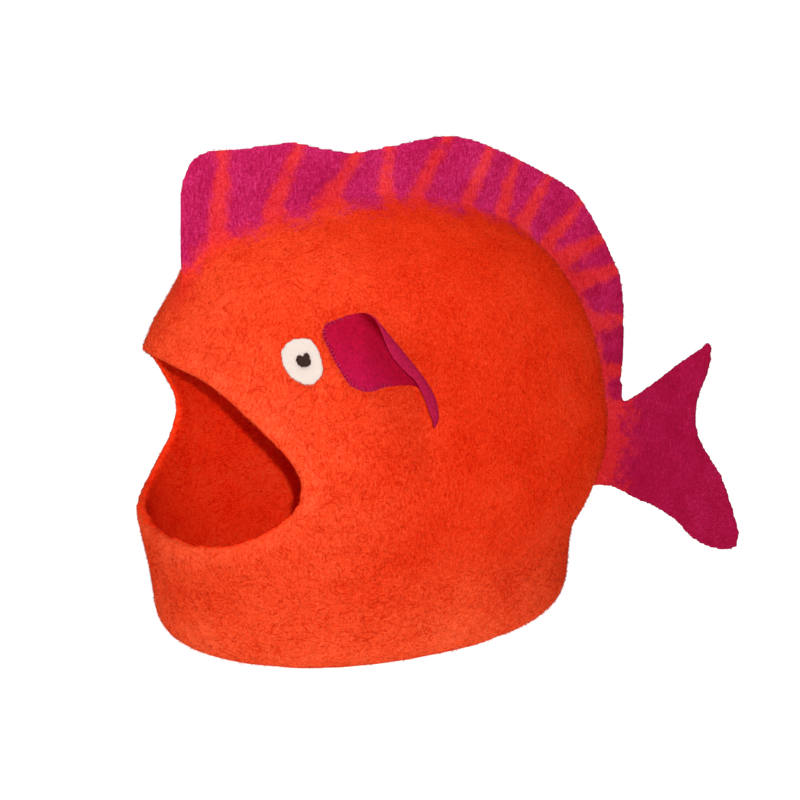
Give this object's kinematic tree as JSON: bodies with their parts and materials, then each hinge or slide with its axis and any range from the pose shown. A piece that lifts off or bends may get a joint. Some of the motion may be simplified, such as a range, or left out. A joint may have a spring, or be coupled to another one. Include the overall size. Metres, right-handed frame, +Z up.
{
  "type": "fish-shaped pet bed",
  "caption": "Hollow pet bed of thick wet-felted wool in the form of a fish: wide open mouth, flat base, long striped fin along the back, forked tail fin, side fins and eyes.",
  "frame": {"origin": "on the floor under the middle of the flat base", "axes": "+X towards the tail, -X towards the open mouth, -Y towards the fish's left side, +Z up"},
  "size_m": [0.6042, 0.3474, 0.4296],
  "materials": {
    "orange_felt": "thick nubby wet-felted wool",
    "fin_felt": "wet-felted wool, magenta with orange rays",
    "side_fin_felt": "thin cut felt with overcast edge stitches",
    "white_felt": "thin white felt",
    "dark_felt": "thin dark brown felt"
  },
  "bodies": {
    "root": {"felt_shell": "orange_felt", "dorsal_fin": "fin_felt", "tail_fin": "fin_felt", "pectoral_fin_left": "side_fin_felt", "pectoral_fin_right": "side_fin_felt", "eye_white_left": "white_felt", "eye_white_right": "white_felt", "pupil_left": "dark_felt", "pupil_right": "dark_felt"}
  },
  "joints": []
}
